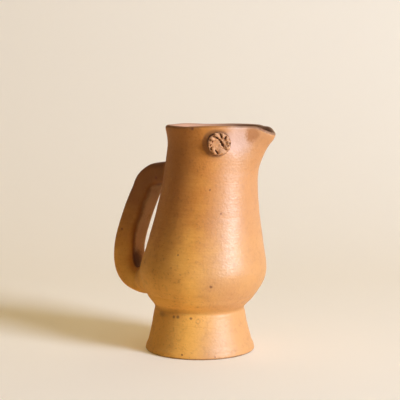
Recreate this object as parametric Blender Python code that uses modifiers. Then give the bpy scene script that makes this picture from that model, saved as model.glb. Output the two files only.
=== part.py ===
"""A stoneware pitcher on a pedestal foot.

A thrown body with a pulled spout leans a little over a hollow, flared foot. A coil of clay fills the seam
at the waist, a strap handle is luted to the neck and the belly, and a notched medallion sits beside the
spout. Metres, +Z up. The spout points along +X and the handle along -X. The origin is on the table, below
the middle of the whole pitcher.
"""

import math

import bmesh
import bpy
from mathutils import Matrix, Vector
from mathutils.geometry import interpolate_bezier

# Gap that two pieces of clay keep where they are luted together
JOINT_GAP = 0.0003

# Pedestal foot, heights from the table
FOOT_HEIGHT = 0.0410
FOOT_TOP_RADIUS = 0.0429
FOOT_ANKLE_RADIUS = 0.0496
FOOT_TOE_RADIUS = 0.0527
FOOT_TOE_HEIGHT = 0.0105
FOOT_TOE_ROUND = 0.0018
FOOT_WALL = 0.0065
FOOT_TOP_CHAMFER = 0.0008

# Body, heights from its own base, which sits on the foot
BODY_HEIGHT = 0.1787
BODY_BASE_RADIUS = 0.0365
BODY_BASE_SLOPE = math.radians(21)
BODY_BASE_RUN = 0.0050
BODY_BELLY_RADIUS = 0.0614
BODY_BELLY_HEIGHT = 0.0395
BODY_BELLY_CURVE_BELOW = 0.0228
BODY_BELLY_CURVE_ABOVE = 0.0100
BODY_NECK_RADIUS = 0.0436
BODY_NECK_BELOW_RIM = 0.0200
BODY_NECK_CURVE_BELOW = 0.0605
BODY_NECK_CURVE_ABOVE = 0.0075
BODY_RIM_RADIUS = 0.0469
BODY_RIM_SLOPE = math.radians(77)
BODY_RIM_CURVE = 0.0080
BODY_WALL = 0.0052
BODY_FLOOR = 0.0070
BODY_LEAN = math.radians(5)
SEAT_WIDTH = 0.0060

# Spout, pulled out of the wall below the rim
SPOUT_REACH = 0.0156
SPOUT_DEPTH = 0.0560
SPOUT_DROP = 0.0066
SPOUT_HALF_ANGLE = math.radians(40)

# Coil of clay in the seam between body and foot
COIL_HEIGHT = 0.0060
COIL_LIP = 0.0005
COIL_HOLLOW = 0.0013

# Strap handle
HANDLE_WIDTH = 0.0310
HANDLE_THICKNESS = 0.0213
HANDLE_ROUNDNESS = 4.6
HANDLE_TOP_BELOW_RIM = 0.0462
HANDLE_GRIP_TOP_BELOW_RIM = 0.0637
HANDLE_GRIP_BOTTOM_HEIGHT = 0.0475
HANDLE_BOTTOM_HEIGHT = 0.0215
HANDLE_GAP_TOP = 0.0117
HANDLE_GAP_BOTTOM = 0.0148
HANDLE_STANDOFF_TOP = 0.0177
HANDLE_STANDOFF_BOTTOM = 0.0119
HANDLE_BEND_TOP = 0.0060
HANDLE_BEND_BOTTOM = 0.0240
HANDLE_ROOT_DEPTH = 0.0090
HANDLE_ROOT_FLARE = 0.06
HANDLE_FLARE_LENGTH = 0.0150

# Medallion, pressed on beside the spout
MEDALLION_RADIUS = 0.0118
MEDALLION_HEIGHT = 0.0048
MEDALLION_ROUND = 0.0016
MEDALLION_ANGLE = math.radians(-56.6)
MEDALLION_BELOW_RIM = 0.0160
MEDALLION_CUP_RADIUS = 0.0046
MEDALLION_CUP_DEPTH = 0.0026
NOTCH_COUNT = 10
NOTCH_LENGTH = 0.0058
NOTCH_WIDTH = 0.0019
NOTCH_DEPTH = 0.0020
NOTCH_SWIRL = math.radians(18)

# Smoothness of the faceted surfaces
TURN_SEGMENTS = 60
MEDALLION_SEGMENTS = 32
CURVE_STEPS = 7
SMALL_CURVE_STEPS = 3
LIP_STEPS = 5
HANDLE_STEPS = 14
HANDLE_SECTION_POINTS = 20
NOTCH_SEGMENTS = 10
NOTCH_RINGS = 6
SHARP_ANGLE = math.radians(40)
WELD_DISTANCE = 0.000001

# Fired clay: colour and roughness of each piece
CLAY = {
    "body": ((0.54, 0.25, 0.08), 0.48),
    "pedestal_foot": ((0.60, 0.30, 0.10), 0.50),
    "waist_coil": ((0.56, 0.27, 0.09), 0.50),
    "handle": ((0.42, 0.18, 0.06), 0.52),
    "medallion": ((0.50, 0.23, 0.10), 0.55),
}


def clear_scene():
    """Remove whatever the scene starts with."""
    for thing in list(bpy.data.objects):
        bpy.data.objects.remove(thing, do_unlink=True)


def new_collection(name):
    collection = bpy.data.collections.new(name)
    bpy.context.scene.collection.children.link(collection)
    return collection


def new_empty(name, collection, parent=None, height=0.0):
    empty = bpy.data.objects.new(name, None)
    collection.objects.link(empty)
    empty.parent = parent
    empty.location.z = height
    return empty


def smooth(share):
    """Ease from 0 to 1 with no corner at either end."""
    share = min(max(share, 0.0), 1.0)
    return share * share * (3 - 2 * share)


def curve_through(knots, steps=CURVE_STEPS):
    """Points along cubic curves between knots of (point, handle before it, handle after it)."""
    line = [Vector(knots[0][0])]
    for (start, _, leaving), (end, arriving, _) in zip(knots, knots[1:]):
        points = [Vector(corner).to_3d() for corner in (start, leaving, arriving, end)]
        line += [point.to_2d() for point in interpolate_bezier(*points, steps + 1)[1:]]
    return line


def offset_line(line, distance):
    """The line moved sideways, to its right as it runs."""
    moved = []
    for index, point in enumerate(line):
        before = line[max(index - 1, 0)]
        after = line[min(index + 1, len(line) - 1)]
        along = (after - before).normalized()
        moved.append(point + distance * Vector((along.y, -along.x)))
    return moved


def point_at_height(line, height):
    """The point where a rising line passes a height."""
    for low, high in zip(line, line[1:]):
        if low.y <= height <= high.y:
            return low.lerp(high, (height - low.y) / (high.y - low.y))
    return line[-1].copy()


def between_heights(line, low, high):
    """The stretch of a rising line between two heights."""
    inside = [point for point in line if low < point.y < high]
    return [point_at_height(line, low)] + inside + [point_at_height(line, high)]


def body_wall():
    """The outer wall of the body as (radius, height) points, from its base up to the lip."""
    lip_height = BODY_HEIGHT - BODY_WALL / 2
    neck_height = BODY_HEIGHT - BODY_NECK_BELOW_RIM
    base = Vector((BODY_BASE_RADIUS, 0))
    belly = Vector((BODY_BELLY_RADIUS, BODY_BELLY_HEIGHT))
    neck = Vector((BODY_NECK_RADIUS, neck_height))
    lip = Vector((BODY_RIM_RADIUS, lip_height))
    base_run = BODY_BASE_RUN * Vector((math.cos(BODY_BASE_SLOPE), math.sin(BODY_BASE_SLOPE)))
    lip_run = BODY_RIM_CURVE * Vector((math.cos(BODY_RIM_SLOPE), math.sin(BODY_RIM_SLOPE)))
    up = Vector((0, 1))
    return curve_through([
        (base, base, base + base_run),
        (belly, belly - BODY_BELLY_CURVE_BELOW * up, belly + BODY_BELLY_CURVE_ABOVE * up),
        (neck, neck - BODY_NECK_CURVE_BELOW * up, neck + BODY_NECK_CURVE_ABOVE * up),
        (lip, lip - lip_run, lip),
    ])


WALL = body_wall()


def spout_pull(x, y, height):
    """How much of the spout's full pull a point of the wall takes, and how far up the pull it is."""
    climb = smooth(1 - (BODY_HEIGHT - height) / SPOUT_DEPTH)
    bell = smooth(1 - abs(math.atan2(y, x)) / SPOUT_HALF_ANGLE)
    return climb * bell, climb


def leaned(point):
    """A turned point after the soft body has leaned towards the spout."""
    x, y, z = point
    return Vector((x + math.tan(BODY_LEAN) * z, y, z))


def pulled(point):
    """A turned point of the wall after the spout is pulled and the body has leaned."""
    x, y, z = point
    pull, climb = spout_pull(x, y, z)
    x, y, z = leaned(point)
    return Vector((x + SPOUT_REACH * pull, y, z - SPOUT_DROP * pull * climb))


def back_wall(height):
    """The body's outer wall on the handle's side, as (x, height)."""
    radius = point_at_height(WALL, height).x
    return leaned((-radius, 0, height)).xz


def wall_frame(angle, height):
    """A frame on the finished wall: Z faces out, Y runs up the wall, X runs round it."""
    nudge = JOINT_GAP

    def on_wall(turn, level):
        radius = point_at_height(WALL, level).x
        return pulled((radius * math.cos(turn), radius * math.sin(turn), level))

    place = on_wall(angle, height)
    around = (on_wall(angle + nudge / BODY_NECK_RADIUS, height) - place).normalized()
    up = (on_wall(angle, height + nudge) - place).normalized()
    out = around.cross(up).normalized()
    up = out.cross(around)
    frame = Matrix((around, up, out)).transposed().to_4x4()
    frame.translation = place
    return frame


def solid_from(shape):
    """Replace an object by the closed mesh that it evaluates to."""
    bpy.context.view_layer.update()
    depsgraph = bpy.context.evaluated_depsgraph_get()
    mesh = bpy.data.meshes.new_from_object(shape.evaluated_get(depsgraph))
    work = bmesh.new()
    work.from_mesh(mesh)
    bmesh.ops.remove_doubles(work, verts=work.verts, dist=WELD_DISTANCE)
    bmesh.ops.recalc_face_normals(work, faces=work.faces)
    work.to_mesh(mesh)
    work.free()
    name = shape.name
    solid = bpy.data.objects.new(name + "_solid", mesh)
    solid.matrix_world = shape.matrix_world
    for collection in shape.users_collection:
        collection.objects.link(solid)
    bpy.data.objects.remove(shape, do_unlink=True)
    solid.name = name
    mesh.name = name
    return solid


def turned(name, outline, collection, segments=TURN_SEGMENTS, ring=False):
    """A solid turned about Z from (radius, height) points that run down its outer side."""
    points = [(radius, 0, height) for radius, height in outline]
    edges = [(index, index + 1) for index in range(len(points) - 1)]
    if ring:
        edges.append((len(points) - 1, 0))
    mesh = bpy.data.meshes.new(name)
    mesh.from_pydata(points, edges, [])
    profile = bpy.data.objects.new(name, mesh)
    collection.objects.link(profile)
    screw = profile.modifiers.new("Turn", "SCREW")
    screw.steps = segments
    screw.render_steps = segments
    screw.use_merge_vertices = True
    screw.merge_threshold = WELD_DISTANCE
    return solid_from(profile)


def reshape(solid, rule):
    """Move every point of a solid by a rule."""
    for vertex in solid.data.vertices:
        vertex.co = rule(vertex.co)


def cut(solid, cutter):
    """Take a cutter's volume out of a solid."""
    boolean = solid.modifiers.new("Cut by " + cutter.name, "BOOLEAN")
    boolean.operation = "DIFFERENCE"
    boolean.object = cutter


def as_cutter(solid, parent):
    solid.parent = parent
    solid.hide_render = True
    solid.display_type = "WIRE"
    return solid


def finish(piece, parent):
    """Parent a piece, give it its own fired clay and shade it smooth."""
    piece.parent = parent
    colour, roughness = CLAY[piece.name]
    clay = bpy.data.materials.new(piece.name + "_clay")
    clay.use_nodes = True
    surface = clay.node_tree.nodes["Principled BSDF"]
    surface.inputs["Base Color"].default_value = (*colour, 1)
    surface.inputs["Roughness"].default_value = roughness
    surface.inputs["Metallic"].default_value = 0
    clay.diffuse_color = (*colour, 1)
    piece.data.materials.clear()
    piece.data.materials.append(clay)
    piece.data.shade_smooth()
    piece.data.set_sharp_from_angle(angle=SHARP_ANGLE)
    return piece


def make_foot(collection, parent):
    """The hollow, flared collar: a straight cone, a rolled toe and a flat seat for the body."""
    seat_radius = BODY_BASE_RADIUS - SEAT_WIDTH
    shoulder = Vector((FOOT_TOP_RADIUS, FOOT_HEIGHT - FOOT_TOP_CHAMFER))
    ankle = Vector((FOOT_ANKLE_RADIUS, FOOT_TOE_HEIGHT))
    toe = Vector((FOOT_TOE_RADIUS, FOOT_TOE_ROUND))
    sole = Vector((FOOT_TOE_RADIUS - FOOT_TOE_ROUND, 0))
    cone = (shoulder - ankle) / 3
    ankle_run = (FOOT_TOE_HEIGHT - FOOT_TOE_ROUND) / 2 * cone.normalized()
    toe_curve = curve_through([
        (ankle, ankle, ankle - ankle_run),
        (toe, toe + Vector((0, ankle_run.y)), toe - Vector((0, FOOT_TOE_ROUND / 2))),
        (sole, sole + Vector((FOOT_TOE_ROUND / 2, 0)), sole),
    ], steps=SMALL_CURVE_STEPS)
    mouth = Vector((FOOT_ANKLE_RADIUS - FOOT_WALL, 0))
    seat = Vector((seat_radius, FOOT_HEIGHT))
    ceiling = Vector((FOOT_TOP_RADIUS - FOOT_WALL, FOOT_HEIGHT - FOOT_WALL))
    hollow = curve_through([(mouth, mouth, mouth + cone), (seat, ceiling, seat)])
    top_edge = Vector((FOOT_TOP_RADIUS - FOOT_TOP_CHAMFER, FOOT_HEIGHT))
    slope = [shoulder.lerp(ankle, share) for share in (0, 1 / 3, 2 / 3)]
    foot = turned("pedestal_foot", [top_edge] + slope + toe_curve + hollow, collection, ring=True)
    return finish(foot, parent)


def make_body(collection, parent):
    """The thrown vessel: one wall with a floor and a rounded lip, then the pulled spout and the lean."""
    inner = offset_line(WALL, -BODY_WALL)
    inner[-1] = WALL[-1] - Vector((BODY_WALL, 0))
    inner = between_heights(inner, BODY_FLOOR, inner[-1].y)
    lip_centre = (inner[-1] + WALL[-1]) / 2
    lip_spoke = inner[-1] - lip_centre
    lip = []
    for step in range(1, LIP_STEPS):
        turn = Matrix.Rotation(-math.pi * step / LIP_STEPS, 2)
        lip.append(lip_centre + turn @ lip_spoke)
    floor_centre = Vector((0, BODY_FLOOR))
    outline = [floor_centre] + inner + lip + WALL[::-1] + [Vector((0, 0))]
    body = turned("body", outline, collection)
    reshape(body, pulled)
    return finish(body, parent)


def make_seat_cutter(collection, parent):
    """The body's outer form, one joint gap larger all over, which shapes what is luted to it."""
    skin = offset_line(WALL, JOINT_GAP)
    outline = [Vector((0, BODY_HEIGHT))] + skin[::-1] + [Vector((0, skin[0].y))]
    cutter = turned("seat_cutter", outline, collection)
    reshape(cutter, pulled)
    return as_cutter(cutter, parent)


def make_coil(collection, parent):
    """The coil wiped into the seam: it lies on the foot's top and against the bowl."""
    inner = between_heights(offset_line(WALL, JOINT_GAP), 0, COIL_HEIGHT)
    top = inner[-1] + Vector((COIL_LIP, 0))
    bottom = Vector((FOOT_TOP_RADIUS - FOOT_TOP_CHAMFER, 0))
    middle = (top + bottom) / 2 - Vector((COIL_HOLLOW, 0))
    outer = curve_through([(top, top, middle), (bottom, middle, bottom)], steps=SMALL_CURVE_STEPS)
    coil = turned("waist_coil", outer + inner, collection, ring=True)
    reshape(coil, leaned)
    return finish(coil, parent)


def handle_path():
    """The middle of the strap in (x, height): off the neck, down beside the wall, back to the belly."""
    half = HANDLE_THICKNESS / 2
    top = back_wall(BODY_HEIGHT - HANDLE_TOP_BELOW_RIM)
    bottom = back_wall(HANDLE_BOTTOM_HEIGHT)
    grip_top = back_wall(BODY_HEIGHT - HANDLE_GRIP_TOP_BELOW_RIM)
    grip_top.x -= HANDLE_GAP_TOP + half
    grip_bottom = back_wall(HANDLE_GRIP_BOTTOM_HEIGHT)
    grip_bottom.x -= HANDLE_GAP_BOTTOM + half
    along = (grip_top - grip_bottom).normalized()
    up = Vector((0, 1))
    inward = Vector((1, 0))
    return curve_through([
        (top + HANDLE_ROOT_DEPTH * inward, top, top - HANDLE_STANDOFF_TOP * inward),
        (grip_top, grip_top + HANDLE_BEND_TOP * along, grip_top - HANDLE_BEND_TOP * along),
        (grip_bottom, grip_bottom + HANDLE_BEND_BOTTOM * up, grip_bottom - HANDLE_BEND_BOTTOM * up),
        (bottom + HANDLE_ROOT_DEPTH * inward, bottom - HANDLE_STANDOFF_BOTTOM * inward, bottom),
    ], steps=HANDLE_STEPS)


def poly_curve(name, points, collection, cyclic=False):
    """A curve object through points, with straight spans."""
    curve = bpy.data.curves.new(name, "CURVE")
    curve.dimensions = "3D"
    spline = curve.splines.new("POLY")
    spline.points.add(len(points) - 1)
    for spot, point in zip(spline.points, points):
        spot.co = (*point, 1)
    spline.use_cyclic_u = cyclic
    thing = bpy.data.objects.new(name, curve)
    collection.objects.link(thing)
    return thing


def rounded_section(collection):
    """The strap's section: a superellipse, between an oval and a rectangle."""
    points = []
    power = 2 / HANDLE_ROUNDNESS
    for step in range(HANDLE_SECTION_POINTS):
        turn = 2 * math.pi * (step + 0.5) / HANDLE_SECTION_POINTS
        across = math.copysign(abs(math.cos(turn)) ** power, math.cos(turn))
        through = math.copysign(abs(math.sin(turn)) ** power, math.sin(turn))
        points.append((across * HANDLE_WIDTH / 2, through * HANDLE_THICKNESS / 2, 0))
    section = poly_curve("handle_section", points, collection, cyclic=True)
    section.data.dimensions = "2D"
    section.data.fill_mode = "NONE"
    return section


def make_handle(collection, parent, seat_cutter, cutters):
    """The pulled strap, swelling into its roots, with both ends shaped to the wall."""
    path = handle_path()
    run = [0.0]
    for before, after in zip(path, path[1:]):
        run.append(run[-1] + (after - before).length)
    section = rounded_section(cutters)
    strap = poly_curve("handle", [(x, 0, z) for x, z in path], collection)
    strap.data.bevel_mode = "OBJECT"
    strap.data.bevel_object = section
    strap.data.use_fill_caps = True
    for spot, distance in zip(strap.data.splines[0].points, run):
        from_wall = min(distance, run[-1] - distance) - HANDLE_ROOT_DEPTH
        spot.radius = 1 + HANDLE_ROOT_FLARE * smooth(1 - from_wall / HANDLE_FLARE_LENGTH)
    handle = solid_from(strap)
    bpy.data.objects.remove(section, do_unlink=True)
    cut(handle, seat_cutter)
    return finish(handle, parent)


def make_notch_cutter(collection):
    """Finger-nail notches round the medallion's face, each turned a little off its radius."""
    work = bmesh.new()
    middle = (MEDALLION_CUP_RADIUS + MEDALLION_RADIUS) / 2
    size = Matrix.Diagonal((NOTCH_LENGTH / 2, NOTCH_WIDTH / 2, NOTCH_DEPTH, 1))
    for index in range(NOTCH_COUNT):
        around = Matrix.Rotation(2 * math.pi * index / NOTCH_COUNT, 4, "Z")
        place = Matrix.Translation((middle, 0, MEDALLION_HEIGHT))
        swirl = Matrix.Rotation(NOTCH_SWIRL, 4, "Z")
        bmesh.ops.create_uvsphere(
            work, u_segments=NOTCH_SEGMENTS, v_segments=NOTCH_RINGS, radius=1,
            matrix=around @ place @ swirl @ size)
    mesh = bpy.data.meshes.new("notch_cutter")
    work.to_mesh(mesh)
    work.free()
    cutter = bpy.data.objects.new("notch_cutter", mesh)
    collection.objects.link(cutter)
    return cutter


def make_medallion(collection, parent, seat_cutter, cutters):
    """The pressed rosette: a round-edged button with a cupped middle and notched rim."""
    edge = MEDALLION_RADIUS
    top = MEDALLION_HEIGHT
    cup_floor = Vector((0, top - MEDALLION_CUP_DEPTH))
    crest = Vector(((MEDALLION_CUP_RADIUS + edge) / 2, top))
    cup = curve_through([
        (cup_floor, cup_floor, cup_floor + Vector((MEDALLION_CUP_RADIUS, 0))),
        (crest, crest - Vector((crest.x - MEDALLION_CUP_RADIUS, 0)), crest),
    ], steps=SMALL_CURVE_STEPS)
    shoulder = Vector((edge, top - 2 * MEDALLION_ROUND))
    rim = curve_through([
        (crest, crest, Vector((edge - MEDALLION_ROUND / 2, top))),
        (shoulder, Vector((edge, top - MEDALLION_ROUND / 2)), shoulder),
    ], steps=SMALL_CURVE_STEPS)
    # The back starts deep enough inside the neck for its curve to shape it all over
    back = -MEDALLION_HEIGHT
    outline = cup + rim[1:] + [Vector((edge, back)), Vector((0, back))]
    medallion = turned("medallion", outline, collection, segments=MEDALLION_SEGMENTS)
    place = wall_frame(MEDALLION_ANGLE, BODY_HEIGHT - MEDALLION_BELOW_RIM)
    notches = as_cutter(make_notch_cutter(cutters), parent)
    medallion.matrix_local = place
    notches.matrix_local = place
    cut(medallion, notches)
    cut(medallion, seat_cutter)
    return finish(medallion, parent)


def main():
    clear_scene()
    pieces = new_collection("stoneware_pitcher")
    cutters = new_collection("cutters")
    pitcher = new_empty("pitcher", pieces)
    vessel = new_empty("vessel", pieces, pitcher, FOOT_HEIGHT + JOINT_GAP)
    make_foot(pieces, pitcher)
    make_coil(pieces, vessel)
    body = make_body(pieces, vessel)
    seat_cutter = make_seat_cutter(cutters, vessel)
    handle = make_handle(pieces, vessel, seat_cutter, cutters)
    make_medallion(pieces, vessel, seat_cutter, cutters)
    front = max(vertex.co.x for vertex in body.data.vertices)
    back = min(vertex.co.x for vertex in handle.data.vertices)
    pitcher.location.x = -(front + back) / 2


main()
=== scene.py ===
# %% [markdown]
# # A stoneware pitcher
# The packed model holds five solids of fired clay: a thrown body, a foot, a coil in the waist, a strap
# handle and a pressed medallion. This lesson keeps their places and sizes, and gives each of them the
# soft, uneven skin that clay keeps from the potter's hands. Everything is in metres, in the frame of the
# solids: Z is up, X runs towards the spout, and the pitcher stands at height zero.

# %% Load the packed pitcher
import math
from types import SimpleNamespace

import bpy
from mathutils import Matrix, Vector
from mathutils.bvhtree import BVHTree


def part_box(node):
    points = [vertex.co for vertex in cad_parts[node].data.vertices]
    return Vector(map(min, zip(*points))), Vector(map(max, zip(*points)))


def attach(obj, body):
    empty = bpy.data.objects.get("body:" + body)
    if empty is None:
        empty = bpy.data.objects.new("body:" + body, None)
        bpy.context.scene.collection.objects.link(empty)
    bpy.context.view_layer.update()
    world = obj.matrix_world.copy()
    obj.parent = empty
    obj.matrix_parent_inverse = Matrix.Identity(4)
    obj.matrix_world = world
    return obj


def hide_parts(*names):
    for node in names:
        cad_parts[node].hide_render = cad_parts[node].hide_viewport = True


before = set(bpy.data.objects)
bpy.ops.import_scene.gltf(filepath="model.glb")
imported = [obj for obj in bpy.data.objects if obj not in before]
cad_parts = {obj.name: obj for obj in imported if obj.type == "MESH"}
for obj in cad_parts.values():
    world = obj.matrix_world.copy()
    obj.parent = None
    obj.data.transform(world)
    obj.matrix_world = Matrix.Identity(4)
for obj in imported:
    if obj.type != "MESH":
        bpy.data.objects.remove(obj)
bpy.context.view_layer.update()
MM = 0.001
print("solids:", ", ".join(sorted(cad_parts)))

# %% [markdown]
# ## The camera
# The picture was taken from a little above the rim of the pitcher, from 28 degrees to the spout's side,
# with a long lens. A camera could be placed by eye, but here its height, distance and tilt were worked out
# from the ellipses of the foot and the mouth, so that a pixel of the 400 pixel frame can be turned into a
# ray later on.

# %% Place the camera
FRAME_SIDE = 400
FOCAL_PIXELS = 1168
SENSOR_MM = 36
CAMERA_TURN = math.radians(28)
CAMERA_TILT = math.radians(6)
CAMERA_DISTANCE = 1.132
CAMERA_HEIGHT = 0.2655
FOOT_AXIS_X = sum(corner.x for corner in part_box("pedestal_foot")) / 2
TO_CAMERA = Vector((math.sin(CAMERA_TURN), -math.cos(CAMERA_TURN), 0))
TO_RIGHT = Vector((math.cos(CAMERA_TURN), math.sin(CAMERA_TURN), 0))
UP = Vector((0, 0, 1))
FOOT_AXIS = Vector((FOOT_AXIS_X, 0, 0))

bpy.ops.object.camera_add(
    location=FOOT_AXIS + CAMERA_DISTANCE * TO_CAMERA + CAMERA_HEIGHT * UP,
    rotation=(math.pi / 2 - CAMERA_TILT, 0, CAMERA_TURN),
)
camera = bpy.context.active_object
camera.name = "camera"
camera.data.sensor_width = SENSOR_MM
camera.data.lens = FOCAL_PIXELS / FRAME_SIDE * SENSOR_MM
camera.data.clip_start = 0.05
bpy.context.scene.camera = camera
bpy.context.view_layer.update()
print("lens, mm:", round(camera.data.lens, 1))

# %% [markdown]
# ## The body
# The body was thrown on the wheel, then pulled out at the spout and left to lean while it was soft. It could
# be turned again from an outline, but the solid already has those forms in facets, so a copy of it is
# subdivided until the light runs over it evenly. Slow rings from the thrower's fingers, a drift in the wall
# and a rim that is not quite level are pressed in after. The motions of the bench that every piece goes
# through are written first, each as a short helper.


# %% Pick up a piece, press a modifier into it, choose parts of it
def only(thing):
    """Select one object alone and make it the active one."""
    bpy.ops.object.select_all(action="DESELECT")
    thing.select_set(True)
    bpy.context.view_layer.objects.active = thing


def shape(thing, kind, **settings):
    """Give a piece a modifier and apply it."""
    only(thing)
    modifier = thing.modifiers.new(kind.title(), kind)
    for name, value in settings.items():
        setattr(modifier, name, value)
    bpy.ops.object.modifier_apply(modifier=modifier.name)


def pick(thing, kind, chosen):
    """Go into edit mode with only the chosen vertices, edges or faces of a piece selected."""
    only(thing)
    bpy.ops.object.mode_set(mode="EDIT")
    bpy.ops.mesh.select_mode(type=kind)
    bpy.ops.mesh.select_all(action="DESELECT")
    bpy.ops.object.mode_set(mode="OBJECT")
    mesh = thing.data
    for element in {"VERT": mesh.vertices, "EDGE": mesh.edges, "FACE": mesh.polygons}[kind]:
        element.select = chosen(element)
    bpy.ops.object.mode_set(mode="EDIT")


# %% Throw the body
def twin(thing, name):
    """A second object with its own copy of the mesh."""
    other = bpy.data.objects.new(name, thing.data.copy())
    bpy.context.scene.collection.objects.link(other)
    return other


def clay_from(node, name):
    """A copy of a solid, with its loose triangles merged and paired into quads."""
    piece = twin(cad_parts[node], name)
    piece.data.materials.clear()
    only(piece)
    bpy.ops.object.mode_set(mode="EDIT")
    bpy.ops.mesh.select_all(action="SELECT")
    bpy.ops.mesh.remove_doubles(threshold=0.01 * MM)
    bpy.ops.mesh.tris_convert_to_quads(face_threshold=1, shape_threshold=1)
    bpy.ops.object.mode_set(mode="OBJECT")
    return piece


LONG_EDGE = 8 * MM
body = clay_from("body", "thrown_body")


def climbs_far(edge):
    """Whether an edge of the body climbs too far for a smooth wall."""
    low, high = (body.data.vertices[index].co for index in edge.vertices)
    return abs(high.z - low.z) > LONG_EDGE


pick(body, "EDGE", climbs_far)
bpy.ops.mesh.subdivide(number_cuts=2, smoothness=1)
bpy.ops.object.mode_set(mode="OBJECT")
shape(body, "SUBSURF", levels=2, render_levels=2)
print("body faces:", len(body.data.polygons))

# %% Let the wall swell and drift
BODY_SWELL = (1.012, 1.012, 1)
BODY_SET = 0.3 * MM
RING_LUMPS = (0.30, 0.30, 0.009)
RING_DEPTH = 0.5 * MM
WALL_LUMPS = (0.05, 0.05, 0.05)
WALL_DEPTH = 1.0 * MM


def stretch(thing, scale, move=(0, 0, 0)):
    """Resize a whole piece from the foot's axis, and then move it."""
    only(thing)
    bpy.ops.object.mode_set(mode="EDIT")
    bpy.ops.mesh.select_all(action="SELECT")
    bpy.ops.transform.resize(value=scale, center_override=FOOT_AXIS)
    bpy.ops.transform.translate(value=move)
    bpy.ops.object.mode_set(mode="OBJECT")


def wander(thing, size, depth, start, group=""):
    """Let a surface drift in and out by a soft cloud texture whose lumps are size across."""
    bpy.ops.object.empty_add(location=start)
    anchor = bpy.context.active_object
    anchor.scale = size
    bpy.context.view_layer.update()
    clouds = bpy.data.textures.new("drift", "CLOUDS")
    clouds.noise_scale = 1
    clouds.noise_depth = 1
    shape(
        thing, "DISPLACE", texture=clouds, texture_coords="OBJECT", texture_coords_object=anchor,
        strength=depth, mid_level=0.5, vertex_group=group,
    )
    bpy.data.objects.remove(anchor)
    bpy.data.textures.remove(clouds)


stretch(body, BODY_SWELL, BODY_SET * TO_RIGHT)
wander(body, size=RING_LUMPS, depth=RING_DEPTH, start=(0.4, 0.1, 0.3))
wander(body, size=WALL_LUMPS, depth=WALL_DEPTH, start=(0.2, 0.7, 0.1))
print("body width, mm:", round(body.dimensions.y / MM, 1))

# %% Let the rim lose its evenness
BODY_LEAN = math.tan(math.radians(5))
BODY_BASE = 0.0413
BODY_TOP = 0.22
# Each tug is a turn in degrees, a radius, a lift and a reach in millimetres
RIM_TUGS = [
    (-62, 46, 1.0, 35), (-140, 46, 0.3, 35), (-25, 46, 0.6, 35), (40, 46, -0.3, 35), (118, 46, -0.5, 35),
    (160, 46, 0.5, 26), (-14, 53, 3.0, 20), (14, 53, 2.1, 17),
]
SPOUT_TUG = (0.8 * MM, 0, 0.1 * MM)
SPOUT_REACH = 16 * MM


def body_axis(height):
    """The middle of the leaning body at a height."""
    return Vector((FOOT_AXIS_X + BODY_LEAN * (height - BODY_BASE), 0, height))


def turned(vector, degrees):
    """A vector turned round the upright axis."""
    return Matrix.Rotation(math.radians(degrees), 3, "Z") @ Vector(vector)


def tug(thing, spot, move, reach):
    """Pull the point of a piece nearest to a spot, with the clay within reach following softly."""
    nearest = min(thing.data.vertices, key=lambda vertex: (vertex.co - Vector(spot)).length).index
    pick(thing, "VERT", lambda vertex: vertex.index == nearest)
    bpy.ops.transform.translate(
        value=move, use_proportional_edit=True, proportional_edit_falloff="SMOOTH", proportional_size=reach
    )
    bpy.ops.object.mode_set(mode="OBJECT")


for turn, radius, lift, reach in RIM_TUGS:
    spot = body_axis(BODY_TOP) + radius * MM * turned((1, 0, 0), turn)
    tug(body, spot, lift * MM * UP, reach * MM)
spout_tip = max(body.data.vertices, key=lambda vertex: vertex.co.x).co.copy()
tug(body, spout_tip, SPOUT_TUG, SPOUT_REACH)
body_heights = [vertex.co.z for vertex in body.data.vertices]
print("body from", round(min(body_heights), 4), "to", round(max(body_heights), 4))

# %% [markdown]
# ## The foot
# The foot is a thrown collar with a rolled toe. It is copied and subdivided as the body was, with a crease
# along the edges of its toe so that they stay firm. The surface wanders a little, and the collar above the
# toe is set half a millimetre aside, because the real one was put on by hand and is not quite true. The sole
# is left alone, so that it still stands flat on the table.

# %% Throw the foot
SOLE_HEIGHT = 2 * MM
SOLE_OVER = 8 * MM
TOE_ANGLE = math.radians(11)
TOE_CREASE = 0.5
FOOT_SWELL = (1.016, 1.016, 1)
FOOT_LUMPS = (0.06, 0.06, 0.03)
FOOT_DEPTH = 0.9 * MM
FOOT_SET = 0.5 * MM
SET_FROM = 0.012
SET_OVER = 0.020


def soften(share):
    """Ease a share from 0 to 1, flat at both ends."""
    share = min(max(share, 0), 1)
    return share * share * (3 - 2 * share)


foot = clay_from("pedestal_foot", "flared_foot")
pick(foot, "EDGE", lambda edge: False)
bpy.ops.mesh.edges_select_sharp(sharpness=TOE_ANGLE)
bpy.ops.transform.edge_crease(value=TOE_CREASE)
bpy.ops.object.mode_set(mode="OBJECT")
shape(foot, "SUBSURF", levels=2, render_levels=2)
stretch(foot, FOOT_SWELL)
above_sole = foot.vertex_groups.new(name="above_sole")
for vertex in foot.data.vertices:
    above_sole.add([vertex.index], soften((vertex.co.z - SOLE_HEIGHT) / SOLE_OVER), "REPLACE")
wander(foot, size=FOOT_LUMPS, depth=FOOT_DEPTH, start=(0.5, 0.2, 0.9), group="above_sole")
for vertex in foot.data.vertices:
    vertex.co -= FOOT_SET * soften((vertex.co.z - SET_FROM) / SET_OVER) * TO_RIGHT
print("foot faces:", len(foot.data.polygons))

# %% [markdown]
# ## The coil in the waist
# A rope of clay was pressed into the seam between body and foot and wiped with a wet finger. Its upper edge
# is gone, its lower edge laps over the foot, and at the front a soft fold hangs lower while the lap beside it
# climbs. A closed outline is spun round the axis, because every turn of it starts alike, and the fold is then
# drawn down in code. The bowl above the seam is felt first, so that the upper edge runs out into it.

# %% Measure the bowl above the seam
BOWL_HEIGHTS = (0.0470, 0.0495, 0.0520, 0.0545, 0.0570, 0.0590)
FEEL_FROM = 0.2


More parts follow.
